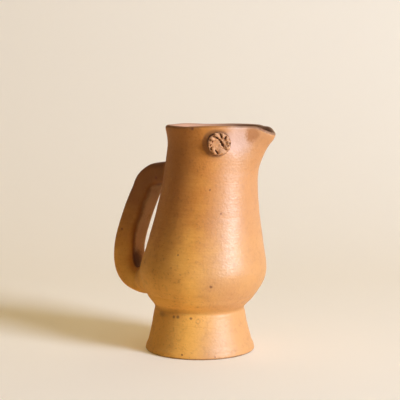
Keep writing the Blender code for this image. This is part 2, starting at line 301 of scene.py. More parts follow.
def wall_radius(height):
    """The bowl's mean radius at a height, felt from outside on four sides."""
    middle = body_axis(height)
    found = []
    for way in (TO_RIGHT, -TO_RIGHT, TO_CAMERA, -TO_CAMERA):
        _, point, _, _ = body.ray_cast(middle + FEEL_FROM * way, -way)
        found.append((point - middle).length)
    return sum(found) / len(found)


bowl = {height: wall_radius(height) for height in BOWL_HEIGHTS}
print("bowl radii:", {height: round(radius, 4) for height, radius in bowl.items()})

# %% Spin the coil
COIL_STEPS = 180
# Each corner is a radius from the foot's axis and a height
coil_outline = [
    (bowl[0.0590] - 0.9 * MM, 0.0590),
    (bowl[0.0570] - 0.1 * MM, 0.0570),
    (bowl[0.0545] + 0.4 * MM, 0.0545),
    (bowl[0.0520] + 0.8 * MM, 0.0520),
    (bowl[0.0495] + 1.1 * MM, 0.0495),
    (bowl[0.0470] + 1.3 * MM, 0.0470),
    (0.0446, 0.0447),
    (0.0438, 0.0428),
    (0.0436, 0.0412),
    (0.0440, 0.0400),
    (0.04432, 0.0387),
    (0.04464, 0.0372),
    (0.04494, 0.0355),
    (0.04532, 0.0335),
    (0.04570, 0.0315),
    (0.04606, 0.0295),
    (0.04620, 0.0275),
    (0.0420, 0.0300),
    (0.0400, 0.0390),
    (0.0380, 0.0425),
    (bowl[0.0470] - 2.5 * MM, 0.0470),
    (bowl[0.0545] - 2.5 * MM, 0.0550),
]
bpy.ops.object.select_all(action="DESELECT")
bpy.ops.mesh.primitive_circle_add(vertices=len(coil_outline), radius=0.01)
coil = bpy.context.active_object
coil.name = "waist_roll"
for corner, (radius, height) in zip(coil.data.vertices, coil_outline):
    corner.co = FOOT_AXIS + Vector((radius, 0, height))
bpy.ops.object.mode_set(mode="EDIT")
bpy.ops.mesh.select_all(action="SELECT")
bpy.ops.mesh.spin(steps=COIL_STEPS, angle=2 * math.pi, center=FOOT_AXIS, axis=(0, 0, 1))
bpy.ops.mesh.select_all(action="SELECT")
bpy.ops.mesh.remove_doubles(threshold=0.01 * MM)
bpy.ops.mesh.normals_make_consistent(inside=False)
bpy.ops.object.mode_set(mode="OBJECT")
print("coil faces:", len(coil.data.polygons))

# %% Draw down the fold
FOLD_TURN = math.radians(-34)
FOLD_HALF = math.radians(32)
FOLD_DROP = 1.2 * MM
FOLD_SWELL = 0.4 * MM
RISE_TURN = math.radians(-92)
RISE_HALF = math.radians(50)
RISE = 1.8 * MM
FOOT_SLOPE = 0.2256
CREASE_HEIGHT = 0.0440
LAP_HEIGHT = 0.0400
LAP_HALF = 1.6 * MM
COIL_LOW_FROM = 0.048
COIL_LOW_OVER = 7 * MM
COIL_LUMPS = (0.02, 0.02, 0.012)
COIL_DEPTH = 0.35 * MM
for vertex in coil.data.vertices:
    height = vertex.co.z
    way = (vertex.co - FOOT_AXIS).to_2d().to_3d().normalized()
    turn = math.atan2(way.y, way.x)
    lap = soften((CREASE_HEIGHT - height) / (CREASE_HEIGHT - LAP_HEIGHT))
    fold = soften(1 - abs(turn - FOLD_TURN) / FOLD_HALF)
    rise = soften(1 - abs(turn - RISE_TURN) / RISE_HALF)
    waver = 0.3 * MM * math.sin(3 * turn + 1) + 0.2 * MM * math.sin(7 * turn)
    drop = (FOLD_DROP * fold - RISE * rise + waver) * lap
    roll = soften(1 - abs(height - LAP_HEIGHT) / LAP_HALF)
    vertex.co.z -= drop
    vertex.co += (FOOT_SLOPE * drop + FOLD_SWELL * fold * roll) * way
    vertex.co.x += BODY_LEAN * max(height - BODY_BASE, 0)
    vertex.co -= FOOT_SET * soften((COIL_LOW_FROM - height) / COIL_LOW_OVER) * TO_RIGHT
shape(coil, "SUBSURF", levels=1, render_levels=1)
wander(coil, size=COIL_LUMPS, depth=COIL_DEPTH, start=(0.1, 0.3, 0.6))
print("coil down to", round(min(vertex.co.z for vertex in coil.data.vertices), 4))

# %% [markdown]
# ## The handle
# The strap was pulled from a lump of clay, bent while soft, and its two ends were wiped out over the wall
# with a thumb until no seam was left. A strap pushed into the wall would meet it at a hard corner. So the
# strap is fused to a skin of the wall with a voxel remesh, the corner is smoothed away as the thumb did it,
# and the skin is cut off again, which leaves the strap with two spread roots that end inside the wall.

# %% Settle the strap's thickness
STRAP_NET = 0.9 * MM
SWELL_TOP = -0.6 * MM
SWELL_LOW = 1.0 * MM
SHOULDER_SWELL = 1.3 * MM
NECK_SINK = 1.75 * MM
NECK_SIDE = -0.043
NECK_OVER = 0.012
SLIT_TOP = 1.2 * MM
SLIT_LOW = -0.7 * MM
SHIFT_TOP = -0.6 * MM
SHIFT_LOW = 0.5 * MM
LOW_FROM = 0.150
LOW_OVER = 0.050
SLIT_FROM = 0.145
SLIT_OVER = 0.045


def lower(vertex, start, over):
    """A share that grows from 0 at a start height to 1 further down."""
    return soften((start - vertex.co.z) / over)


strap = clay_from("handle", "strap_handle")
shape(strap, "REMESH", mode="VOXEL", voxel_size=STRAP_NET)
shape(strap, "SMOOTH", factor=0.5, iterations=5)
normals = [vertex.normal.copy() for vertex in strap.data.vertices]
for vertex, normal in zip(strap.data.vertices, normals):
    low = lower(vertex, LOW_FROM, LOW_OVER)
    near_neck = soften((vertex.co.x - NECK_SIDE) / NECK_OVER)
    top_swell = SWELL_TOP + (SHOULDER_SWELL - NECK_SINK * near_neck) * max(normal.z, 0)
    slit = SLIT_TOP + (SLIT_LOW - SLIT_TOP) * lower(vertex, SLIT_FROM, SLIT_OVER)
    swell = top_swell + (SWELL_LOW - top_swell) * low + slit * max(normal.x, normal.y, 0)
    vertex.co += swell * normal
    vertex.co.x += SHIFT_TOP + (SHIFT_LOW - SHIFT_TOP) * low
print("strap faces:", len(strap.data.polygons))

# %% Sink its ends into the wall
AT_ROOT = 1.2 * MM
ROOT_SPLIT = 0.115
LOW_ROOT = Vector((-0.048, 0, 0.064))
LOW_ROOT_SPREAD = (1, 1.25, 0.95)
SPREAD_REACH = 0.028
END_DEPTH = 8 * MM


def feeler(thing):
    """A function that tells how far a point is from the surface of a piece."""
    corners = [vertex.co.copy() for vertex in thing.data.vertices]
    surface = BVHTree.FromPolygons(corners, [face.vertices[:] for face in thing.data.polygons])
    return lambda point: surface.find_nearest(point)[3]


off_body = feeler(body)
pick(strap, "VERT", lambda vertex: off_body(vertex.co) < AT_ROOT and vertex.co.z <= ROOT_SPLIT)
bpy.ops.transform.resize(
    value=LOW_ROOT_SPREAD, center_override=LOW_ROOT, use_proportional_edit=True,
    proportional_edit_falloff="SMOOTH", proportional_size=SPREAD_REACH,
)
bpy.ops.object.mode_set(mode="OBJECT")
pick(strap, "VERT", lambda vertex: off_body(vertex.co) < AT_ROOT)
bpy.ops.transform.translate(value=(END_DEPTH, 0, 0))
bpy.ops.object.mode_set(mode="OBJECT")
print("strap reaches to x", round(max(vertex.co.x for vertex in strap.data.vertices), 4))

# %% Take a solid cast of the body's outer skin
RIM_GUARD = 0.205
FACING_IN = -0.05
FACING_UP = 0.6
cast = twin(body, "outer_cast")


def not_outside(face):
    """Whether a face of the body is its inside, its floor or its rim."""
    outwards = (face.center - body_axis(face.center.z)).to_2d().to_3d().normalized()
    inside = face.normal.dot(outwards) < FACING_IN or face.normal.z > FACING_UP
    return inside or face.center.z > RIM_GUARD


pick(cast, "FACE", not_outside)
bpy.ops.mesh.delete(type="FACE")
bpy.ops.mesh.select_all(action="SELECT")
bpy.ops.mesh.delete_loose()
bpy.ops.mesh.select_all(action="DESELECT")
bpy.ops.mesh.select_mode(type="EDGE")
bpy.ops.mesh.select_non_manifold(
    use_wire=False, use_multi_face=False, use_non_contiguous=False, use_verts=False
)
bpy.ops.mesh.fill()
bpy.ops.object.mode_set(mode="OBJECT")
print("cast faces:", len(cast.data.polygons))

# %% Smear the skin out where the low end lands
SKIN_DEPTH = 0.4 * MM
CORE_DEPTH = 1.8 * MM
SMEAR_HEIGHT = 0.0665
SMEAR_SIZE = (44 * MM, 19 * MM)
SMEAR_DEPTH = 15 * MM
core = twin(cast, "wall_core")
shape(cast, "DISPLACE", strength=-SKIN_DEPTH, mid_level=0)
shape(core, "DISPLACE", strength=-CORE_DEPTH, mid_level=0)
smear = cast.vertex_groups.new(name="smear")
for vertex in cast.data.vertices:
    across = vertex.co.y / SMEAR_SIZE[0]
    away = (vertex.co.z - SMEAR_HEIGHT) / SMEAR_SIZE[1]
    share = soften(1 - math.hypot(across, away)) if vertex.co.x < 0 else 0
    smear.add([vertex.index], share, "REPLACE")
shape(cast, "DISPLACE", strength=SMEAR_DEPTH, mid_level=0, vertex_group="smear")
print("cast with its smear from x", round(min(vertex.co.x for vertex in cast.data.vertices), 4))

# %% Fuse the strap with the skin around its ends
# Each root is the middle and the half size of the patch of wall around it
ROOTS = [
    (Vector((-0.026, 0, 0.172)), Vector((0.030, 0.034, 0.030))),
    (Vector((-0.048, 0, 0.066)), Vector((0.036, 0.054, 0.034))),
]
strap_form = twin(strap, "strap_form")
patches = []
for middle, size in ROOTS:
    patch = twin(cast, "wall_patch")
    bpy.ops.mesh.primitive_uv_sphere_add(segments=48, ring_count=24, radius=1, location=middle, scale=size)
    ball = bpy.context.active_object
    shape(patch, "BOOLEAN", operation="INTERSECT", object=ball, solver="MANIFOLD")
    bpy.data.objects.remove(ball)
    patches.append(patch)
only(strap)
for patch in patches:
    patch.select_set(True)
bpy.ops.object.join()
shape(strap, "REMESH", mode="VOXEL", voxel_size=STRAP_NET)
print("fused faces:", len(strap.data.polygons))

# %% Wipe the roots and cut the skin away
WIPE_REACH_TOP = 9 * MM
WIPE_REACH_LOW = 13 * MM
WIPE_ROUNDS = 60
STRAP_LUMPS = (0.02, 0.02, 0.02)
STRAP_DEPTH = 0.6 * MM
wiped = strap.vertex_groups.new(name="wiped")
off_strap = feeler(strap_form)
off_wall = feeler(cast)
for vertex in strap.data.vertices:
    reach = WIPE_REACH_LOW if vertex.co.z < ROOT_SPLIT else WIPE_REACH_TOP
    share = soften(1 - off_strap(vertex.co) / reach) * soften(1 - off_wall(vertex.co) / reach)
    wiped.add([vertex.index], share, "REPLACE")
shape(strap, "SMOOTH", factor=0.5, iterations=WIPE_ROUNDS, vertex_group="wiped")
shape(strap, "BOOLEAN", operation="DIFFERENCE", object=core, solver="MANIFOLD")
for helper in (cast, core, strap_form):
    bpy.data.objects.remove(helper)
strap.vertex_groups.clear()
wander(strap, size=STRAP_LUMPS, depth=STRAP_DEPTH, start=(0.3, 0.9, 0.4))
print("handle faces:", len(strap.data.polygons))

# %% [markdown]
# ## The medallion
# A pellet of clay was pressed on beside the spout, hollowed with a fingertip and nicked all round with a
# tool, so that it looks like a small rosette of leaning petals round a curved mark. The petals could be
# drawn in the colour alone, but then they would not catch the light. So they are low lumps on a rounded
# disc, fused to it by a remesh, the hollow and the marks are cut out of that, and everything is smoothed,
# because wet clay keeps no sharp edge. It is shaped flat at the origin and pressed on at the end.

# %% Fuse the petals to a disc
ROSETTE_NET = 0.25 * MM
ROSETTE_FACE = 6.0 * MM
DISC_RADIUS = 10.9 * MM
DISC_FACE = 4.3 * MM
DISC_BACK = -3.4 * MM
DISC_ROUNDING = 1.3 * MM
PETAL_HEIGHT = 2.4 * MM
# Each petal is a turn in degrees, a distance from the middle, its own turn, half its length and width
PETALS = [
    (106, 8.1, 133, 3.5, 2.1), (66, 8.1, 103, 3.1, 1.7), (38, 8.7, 90, 2.4, 1.8), (10, 8.5, 60, 2.3, 2.0),
    (-22, 8.0, 45, 2.8, 2.2), (-70, 7.5, 10, 4.3, 2.8), (-130, 8.1, -60, 3.7, 1.9),
    (178, 8.7, 70, 3.0, 1.9), (146, 8.5, -40, 2.8, 2.4),
]


def lump(place, size, turn):
    """A long rounded form, turned in the plane of the rosette's face."""
    bpy.ops.mesh.primitive_uv_sphere_add(
        segments=24, ring_count=12, radius=1, scale=size, location=place, rotation=(0, 0, turn)
    )
    return bpy.context.active_object


def fuse(first, others):
    """Join closed forms to the first and melt them into one skin."""
    only(first)
    for other in others:
        other.select_set(True)
    bpy.ops.object.join()
    shape(first, "REMESH", mode="VOXEL", voxel_size=ROSETTE_NET)


disc_middle = (0, 0, (DISC_FACE + DISC_BACK) / 2)
bpy.ops.mesh.primitive_cylinder_add(
    vertices=64, radius=DISC_RADIUS, depth=DISC_FACE - DISC_BACK, location=disc_middle
)
medallion = bpy.context.active_object
medallion.name = "rosette_medallion"
bpy.ops.object.transform_apply(location=True, rotation=True, scale=True)
shape(medallion, "BEVEL", width=DISC_ROUNDING, segments=4)
petals = []
for around, ring, turn, long, wide in PETALS:
    place = turned((ring * MM, 0, 0), around) + (ROSETTE_FACE - PETAL_HEIGHT) * UP
    petals.append(lump(place, (long * MM, wide * MM, PETAL_HEIGHT), math.radians(turn)))
fuse(medallion, petals)
print("rosette faces:", len(medallion.data.polygons))

# %% Hollow it and cut the marks
CUP_PLACE = (-1.5 * MM, -0.3 * MM, ROSETTE_FACE + 0.3 * MM)
CUP_SIZE = (5.0 * MM, 5.3 * MM, 2.4 * MM)
# Each mark is its place across and up, its turn in degrees, its half length, half width and depth
SWIRL = [
    (-5.4, 7.2, -22, 2.6, 0.8, 2.6), (-2.4, 6.0, -32, 2.6, 1.2, 3.4), (0.0, 4.0, -46, 2.8, 1.3, 4.0),
    (1.6, 1.8, -56, 2.8, 1.6, 4.4), (2.9, -0.6, -64, 2.8, 1.8, 4.4), (3.2, -3.2, 55, 1.6, 0.9, 3.0),
]
NICKS = [
    (1.1, 8.2, -66, 3.2, 0.9, 3.6), (5.4, 6.2, 56, 2.6, 1.0, 3.2), (9.8, 0.8, -72, 1.8, 0.8, 3.0),
    (7.9, -1.5, 12, 1.9, 0.8, 2.6), (6.4, -5.0, -45, 2.0, 0.8, 2.2), (-2.5, -7.2, -54, 3.2, 1.0, 3.8),
    (-7.7, -3.9, 70, 1.8, 1.2, 3.6), (-6.7, 2.3, 68, 2.0, 0.8, 2.6), (-8.4, -0.9, 60, 1.9, 0.8, 2.6),
    (-9.2, 4.2, 10, 1.9, 0.8, 2.4), (-5.6, -8.6, -50, 2.2, 0.9, 2.2),
]
ROSETTE_LUMPS = (0.0030, 0.0030, 0.0030)
ROSETTE_DEPTH = 0.8 * MM
cutter = lump(CUP_PLACE, CUP_SIZE, 0)
marks = [
    lump((across * MM, up * MM, ROSETTE_FACE), (long * MM, wide * MM, deep * MM), math.radians(turn))
    for across, up, turn, long, wide, deep in SWIRL + NICKS
]
fuse(cutter, marks)
shape(medallion, "BOOLEAN", operation="DIFFERENCE", object=cutter, solver="MANIFOLD")
bpy.data.objects.remove(cutter)
shape(medallion, "REMESH", mode="VOXEL", voxel_size=ROSETTE_NET)
shape(medallion, "SMOOTH", factor=0.5, iterations=3)
wander(medallion, size=ROSETTE_LUMPS, depth=ROSETTE_DEPTH, start=(0.1, 0.1, 0.1))
print("medallion faces:", len(medallion.data.polygons))

# %% Press it on the neck
MEDALLION_AROUND = Vector((0.83295, 0.55334, 0))
MEDALLION_UP = Vector((0.08256, -0.12428, 0.98881))
MEDALLION_OUT = MEDALLION_AROUND.cross(MEDALLION_UP)
PRESSED_AT = Vector((0.04542, -0.03657, 0.2040))
NUDGE = 0.7 * MEDALLION_AROUND + 0.7 * MEDALLION_UP + 0.9 * MEDALLION_OUT
MEDALLION_CENTRE = PRESSED_AT + MM * NUDGE
on_neck = Matrix((MEDALLION_AROUND, MEDALLION_UP, MEDALLION_OUT)).transposed().to_4x4()
on_neck.translation = MEDALLION_CENTRE
medallion.matrix_world = on_neck
only(medallion)
bpy.ops.object.transform_apply(location=True, rotation=True, scale=True)
print("medallion at", tuple(round(value, 4) for value in MEDALLION_CENTRE))

# %% [markdown]
# ## Sums for the shader
# A finish is a set of masks that are added, multiplied and mixed. Wiring each Math node by hand hides what
# is meant, so a small class stands for one output of a node and lets Python's own signs add the nodes.


# %% Signals
class Signal:
    """One output of a shader node, which can take part in Python sums."""

    def __init__(self, tree, socket=None):
        self.tree = tree
        self.socket = socket

    def node(self, kind, settings=None, inputs=None, output=0):
        """Add any node: its settings first, then the values or links of its sockets."""
        made = self.tree.nodes.new(kind)
        for name, value in (settings or {}).items():
            setattr(made, name, value)
        for name, value in (inputs or {}).items():
            if isinstance(value, Signal):
                self.tree.links.new(value.socket, made.inputs[name])
            else:
                made.inputs[name].default_value = value
        return Signal(self.tree, made.outputs[output])

    def math(self, operation, first, second):
        """Add a Math node on two values."""
        return self.node("ShaderNodeMath", {"operation": operation}, {0: first, 1: second})

    def __add__(self, other):
        return self.math("ADD", self, other)

    def __radd__(self, other):
        return self.math("ADD", other, self)

    def __sub__(self, other):
        return self.math("SUBTRACT", self, other)

    def __rsub__(self, other):
        return self.math("SUBTRACT", other, self)

    def __mul__(self, other):
        return self.math("MULTIPLY", self, other)

    def __rmul__(self, other):
        return self.math("MULTIPLY", other, self)

    def or_more(self, other):
        """The larger of two values."""
        return self.math("MAXIMUM", self, other)

    def eased(self, low, high, start, end):
        """A value that eases from a start at low to an end at high."""
        settings = {"interpolation_type": "SMOOTHSTEP"}
        ends = {"Value": self, "From Min": low, "From Max": high, "To Min": start, "To Max": end}
        return self.node("ShaderNodeMapRange", settings, ends)

    def rise(self, low, high):
        """A mask that eases from 0 at low to 1 at high."""
        return self.eased(low, high, 0.0, 1.0)

    def fall(self, low, high):
        """A mask that eases from 1 at low to 0 at high."""
        return self.eased(low, high, 1.0, 0.0)

    def part(self, axis):
        """One coordinate of a vector."""
        return self.node("ShaderNodeSeparateXYZ", None, {0: self}, axis)

    def stretched(self, scale):
        """A vector multiplied part by part."""
        return self.node("ShaderNodeVectorMath", {"operation": "MULTIPLY"}, {0: self, 1: scale})

    def distance(self, point):
        """How far a place is from a fixed point."""
        return self.node("ShaderNodeVectorMath", {"operation": "DISTANCE"}, {0: self, 1: point}, 1)

    def along(self, direction):
        """A vector's length along a direction."""
        return self.node("ShaderNodeVectorMath", {"operation": "DOT_PRODUCT"}, {0: self, 1: direction}, 1)

    def noise(self, scale, detail, roughness=0.5):
        """Soft noise at a place, around zero."""
        values = {"Vector": self, "Scale": scale, "Detail": detail, "Roughness": roughness}
        return self.node("ShaderNodeTexNoise", None, values) - 0.5

    def colour(self, low, high):
        """Mix two colours by this mask."""
        return self.node("ShaderNodeMix", {"data_type": "RGBA"}, {0: self, 6: low, 7: high}, 2)


def paint(red, green, blue):
    """A colour with full alpha, as sockets want it."""
    return (red, green, blue, 1.0)


print("words of a signal:", ", ".join(word for word in vars(Signal) if not word.startswith("_")))

# %% [markdown]
# ## The fired clay
# The stoneware is bare of glaze: golden at the foot and russet towards the neck. Painted shade darkens the
# handle's side above the waist, and a painted sheen makes the spout's side, where the light falls, paler and
# pinker; there the clay is also a little shinier. All pieces read the same object
# coordinates, so one function paints them all and the colour runs on over the wiped joints.
# Iron spots are masks round points of the skin that the camera sees in the picture, and smaller specks are
# scattered by cells.

# %% What every clay reads
SHEEN_SIDE = (0.010, 0.044)


def clay_ground(tree):
    """The places, directions and noises that every clay is painted from, with scales in lumps per metre."""
    bench = Signal(tree)
    place = bench.node("ShaderNodeTexCoord", output="Object")
    clay = SimpleNamespace(bench=bench, place=place)
    clay.facing = bench.node("ShaderNodeTexCoord", output="Normal")
    clay.height = place.part(2)
    clay.off_axis = place.part(0) - FOOT_AXIS_X - BODY_LEAN * (clay.height - BODY_BASE)
    clay.drift = place.noise(16, 3)
    clay.cloud = place.noise(60, 3)
    clay.blotch = place.noise(190, 3)
    clay.grain = place.noise(480, 2)
    clay.fine = place.noise(1500, 1)
    clay.lines = place.stretched((14, 14, 640)).noise(1, 3, 0.6)
    clay.wrinkles = place.stretched((110, 110, 300)).noise(1, 3, 0.6)
    clay.ragged = 12 * MM * clay.cloud + 6 * MM * clay.grain
    # The spout's side: a painted sheen makes the clay paler and pinker there, and the clay is also shinier
    # there
    clay.flash = (clay.off_axis + 14 * MM * clay.drift + 8 * MM * clay.cloud).rise(*SHEEN_SIDE)
    return clay


print("flash off the axis, mm:", [round(side / MM) for side in SHEEN_SIDE])

# %% The tone of the bare clay
GOLDEN = paint(0.87, 0.418, 0.060)
RUSSET = paint(0.59, 0.203, 0.012)
# A dark brown used both for toasted marks of the clay and for painted shade
TOAST_AND_SHADE = paint(0.24, 0.074, 0.008)
PAINTED_SHEEN = paint(0.525, 0.250, 0.110)
RUSSET_HEIGHTS = (0.035, 0.165)
SIDE_SHADE_HEIGHTS = (0.060, 0.180)
SIDE_SHADE_REACH = (-0.015, 0.020)


def fired_tone(clay):
    """Golden to russet, with pits, painted shade on the handle's side and a painted sheen on the spout's
    side.
    """
    toasted = (clay.height + 0.08 * clay.drift).rise(*RUSSET_HEIGHTS)
    tone = (toasted + 0.8 * clay.cloud + 0.45 * clay.lines + 0.4 * clay.wrinkles).colour(GOLDEN, RUSSET)
    pits = (clay.grain + 0.3 * clay.cloud).rise(0.08, 0.24)
    tone = (0.3 * pits).colour(tone, TOAST_AND_SHADE)
    # Painted shade: the handle's side, which faces away from the light, is darker
    side_shade = clay.height.rise(*SIDE_SHADE_HEIGHTS) * clay.off_axis.fall(*SIDE_SHADE_REACH)
    tone = (0.4 * side_shade).colour(tone, TOAST_AND_SHADE)
    # Painted sheen: paler, pinker clay on the side that the light falls on
    tone = (0.75 * clay.flash).colour(tone, PAINTED_SHEEN)
    return (0.16 * clay.blotch.rise(0.0, 0.25)).colour(tone, TOAST_AND_SHADE)


print("tones from", GOLDEN[:3], "to", RUSSET[:3])

# %% Iron spots and specks
IRON = paint(0.20, 0.050, 0.006)
SPECK_CELLS = 95.0
# Each spot is a pixel across, a pixel down and a size in millimetres
BODY_SPOTS = [
    (192.5, 128.5, 1.7), (264, 130, 1.5), (260, 129, 1.1), (210, 190, 1.0), (221, 214, 1.1),
    (178, 255, 1.0), (211, 287, 1.7),
]
FOOT_SPOTS = [(174, 317, 1.7), (178, 317, 1.8), (191, 318.5, 1.5), (182, 355, 1.2), (215, 357, 0.9)]
STRAP_SPOTS = [(156, 178, 1.7), (122, 229, 1.5)]


def seen_at(piece, across, down):
    """The point of a piece that the camera sees at a pixel of the 400 pixel frame."""
    half = FRAME_SIDE / 2
    look = Vector(((across - half) / FOCAL_PIXELS, (half - down) / FOCAL_PIXELS, -1))
    start = camera.matrix_world.translation
    hit, point, _, _ = piece.ray_cast(start, camera.matrix_world.to_3x3() @ look)
    if not hit:
        raise ValueError(f"the camera sees nothing of {piece.name} at {across}, {down}")
    return point


iron_spots = [
    (seen_at(piece, across, down), size * MM)
    for piece, spots in ((body, BODY_SPOTS), (foot, FOOT_SPOTS), (strap, STRAP_SPOTS))
    for across, down, size in spots
]


def speckled(clay, tone):
    """A tone with small specks in some cells, and the iron spots."""
    cells = {"Vector": clay.place, "Scale": SPECK_CELLS, "Randomness": 1.0}
    near_cell = clay.bench.node("ShaderNodeTexVoronoi", None, cells, "Distance")
    cell_tint = clay.bench.node("ShaderNodeTexVoronoi", None, cells, "Color").part(0)
    specks = 0.36 * near_cell.fall(0.030, 0.075) * cell_tint.rise(0.76, 0.80)
    wobble = 1.4 * MM * clay.fine + 1.2 * MM * clay.grain
    for point, size in iron_spots:
        spot = (clay.place.distance(point) + wobble).fall(0.2 * size, 1.35 * size)
        specks = specks.or_more(0.92 * spot)
    return specks.colour(tone, IRON)


print("iron spots:", len(iron_spots))

# %% Mix the clay
CLAY_IOR = 1.52
CLAY_SPECULAR = 1.0
SKIN_STRENGTH = 0.48
SKIN_HEIGHT = 0.6 * MM


def fired_clay(name, layers):
    """A stoneware material. Layers paints what one piece alone shows, and says how dry it is there."""
    material = bpy.data.materials.new(name)
    material.use_nodes = True
    tree = material.node_tree
    clay = clay_ground(tree)
    tone, dry = layers(clay, fired_tone(clay))
    tone = speckled(clay, tone)
    rough = 0.79 - 0.33 * clay.flash + 0.12 * clay.cloud + 0.2 * clay.grain + dry
    skin = 0.35 * clay.lines + 0.7 * clay.wrinkles + 0.7 * clay.grain + 0.25 * clay.fine + 1.5 * clay.cloud
    relief = {"Strength": SKIN_STRENGTH, "Distance": SKIN_HEIGHT, "Height": skin}
    bump = clay.bench.node("ShaderNodeBump", None, relief)
    surface = tree.nodes["Principled BSDF"]
    surface.inputs["IOR"].default_value = CLAY_IOR
    surface.inputs["Specular IOR Level"].default_value = CLAY_SPECULAR
    tree.links.new(tone.socket, surface.inputs["Base Color"])
    tree.links.new(rough.socket, surface.inputs["Roughness"])
    tree.links.new(bump.socket, surface.inputs["Normal"])
    print(name, "has", len(tree.nodes), "nodes")
    return material


print("relief of the skin, mm:", round(SKIN_HEIGHT / MM, 2))

# %% [markdown]
# ## What each piece shows alone
# The inside of the body is paler and pinker than its outside. Beside the spout the wall has a dull, darker
# patch, partly scorch and partly painted shade where the spout's flank turns from the light, and a painted
# highlight.
# A painted shadow darkens the clay round the medallion, to its left, and the rim carries a dark wash that is
# rubbed off in places and is thicker on the spout, where it is partly painted shade inside the spout. The
# waist has painted shade in its crease and a smudge, the foot a dark line where it stood, partly toasted and
# partly painted contact shade, and both share a faint ring. The handle's top is darker by scorch and painted
# shade, its loop has painted shade along the edge of its inner face and in its bottom corner, and the
# medallion has painted shade on its side wall and in its nicks and a painted shadow in its gouge. Each of
# these is a mask from a place, a direction or a height.

# %% Marks on the body's wall
BLUSH = paint(0.66, 0.350, 0.222)
SCORCH_AND_SHADE = paint(0.37, 0.128, 0.028)
HIGHLIGHT_PINK = paint(0.67, 0.430, 0.365)
INWARD = (-0.022, -0.008)
FLOOR_HEIGHTS = (0.052, 0.060)
PATCH_STRETCH = Vector((1, 1, 0.72))
spout_patch = seen_at(body, 252, 134.5)
highlight_spot = seen_at(body, 238, 140)
# The middle of the painted shadow round the medallion, set a little to its left
shadow_centre = MEDALLION_CENTRE - 2.5 * MM * MEDALLION_AROUND


def wall_marks(clay, tone):
    """The pale inside, a darker patch of scorch and painted shade by the spout, a painted highlight, and a
    painted shadow round the medallion.
    """
    outward = clay.facing.part(0) * clay.off_axis + clay.facing.part(1) * clay.place.part(1)
    floor = clay.facing.part(2).rise(0.5, 0.8) * clay.height.fall(*FLOOR_HEIGHTS)
    inside = outward.fall(*INWARD).or_more(floor)
    tone = inside.colour(tone, BLUSH)
    # A darker, duller patch beside the spout: partly scorched clay, partly painted shade where the spout's
    # flank turns from the light
    from_patch = clay.place.stretched(PATCH_STRETCH).distance(PATCH_STRETCH * spout_patch)
    scorch_and_shade = (from_patch + clay.ragged).fall(3 * MM, 9 * MM)
    tone = (0.82 * scorch_and_shade).colour(tone, SCORCH_AND_SHADE)
    # Painted highlight: a pale pink patch on the neck beside the spout
    painted_highlight = (clay.place.distance(highlight_spot) + clay.ragged).fall(5 * MM, 20 * MM) * (1 - scorch_and_shade)
    tone = (0.85 * painted_highlight).colour(tone, HIGHLIGHT_PINK)
    # Painted shadow: darker clay round the medallion, strongest to its left, where its shadow falls
    medallion_shadow = clay.place.distance(shadow_centre).fall(12 * MM, 14.5 * MM)
    tone = (0.65 * medallion_shadow).colour(tone, TOAST_AND_SHADE)
    return tone, (0.25 * scorch_and_shade).or_more(0.3 * inside)


print("scorch at", tuple(round(value, 4) for value in spout_patch))

# %% The wash on the rim
UMBER = paint(0.125, 0.055, 0.024)
SPOUT_SIDE = (0.044, 0.056)
LIP_HEIGHTS = (0.199, 0.206)
rubbed_rim = seen_at(body, 216, 128)
pale_rim = body_axis(BODY_TOP) + turned((44 * MM, 0, 0), 143.24)


def rim_wash(clay, tone):
    """A dark wash on what faces up at the rim, thin where it was rubbed and thick on the spout, where it is
    partly painted shade inside the spout.
    """
    kept = (clay.place.distance(rubbed_rim) + clay.ragged).rise(8 * MM, 20 * MM)
    kept = kept * (clay.place.distance(pale_rim) + clay.ragged).rise(24 * MM, 40 * MM)
    on_spout = clay.off_axis.rise(*SPOUT_SIDE)
    upturned = clay.facing.part(2) + 0.25 * clay.grain + 0.3 * on_spout
    lip = upturned.rise(0.05, 0.40) * clay.height.rise(*LIP_HEIGHTS)
    # The wash is the clay's own colour; its extra darkness on the spout is partly painted shade
    return (lip * (0.30 + 0.15 * kept + 0.28 * on_spout)).colour(tone, UMBER), 0.3 * lip


def body_layers(clay, tone):
    """The marks on the wall under the wash on the rim."""
    tone, dry_wall = wall_marks(clay, tone)
    tone, dry_rim = rim_wash(clay, tone)
    return tone, dry_wall.or_more(dry_rim)


body_clay = fired_clay("body_clay", body_layers)

# %% Layers of the coil and the foot
CREASE_SHADE = paint(0.42, 0.165, 0.018)
CREASE_FROM = (0.0395, 0.0425)
CREASE_TO = (0.0430, 0.0480)
RING_RADIUS = 1.9 * MM
SMUDGE_STRETCH = Vector((1, 1, 2.2))
kiln_ring = seen_at(coil, 198, 321.5)
waist_smudge = seen_at(coil, 162, 314)


def ringed(clay, tone):
    """A tone with the faint ring that a drop left in the kiln."""
    ring_gap = clay.place.distance(kiln_ring) - RING_RADIUS
    ring = ring_gap.rise(-1.2 * MM, -0.2 * MM) * ring_gap.fall(0.1 * MM, 1.0 * MM)
    return (0.62 * ring * (clay.grain + 0.5)).colour(tone, TOAST_AND_SHADE)


def coil_layers(clay, tone):
    """A dark smudge, and painted shade in the crease of the waist."""
    from_smudge = clay.place.stretched(SMUDGE_STRETCH).distance(SMUDGE_STRETCH * waist_smudge)
    smudge = (from_smudge + 6 * MM * clay.cloud).fall(1 * MM, 8 * MM)
    tone = (0.45 * smudge).colour(ringed(clay, tone), TOAST_AND_SHADE)
    height = clay.height + 3 * MM * clay.drift
    # Painted shade in the crease under the bowl
    crease = height.rise(*CREASE_FROM) * height.fall(*CREASE_TO)
    return (0.4 * crease).colour(tone, CREASE_SHADE), 0.05 + 0.08 * crease


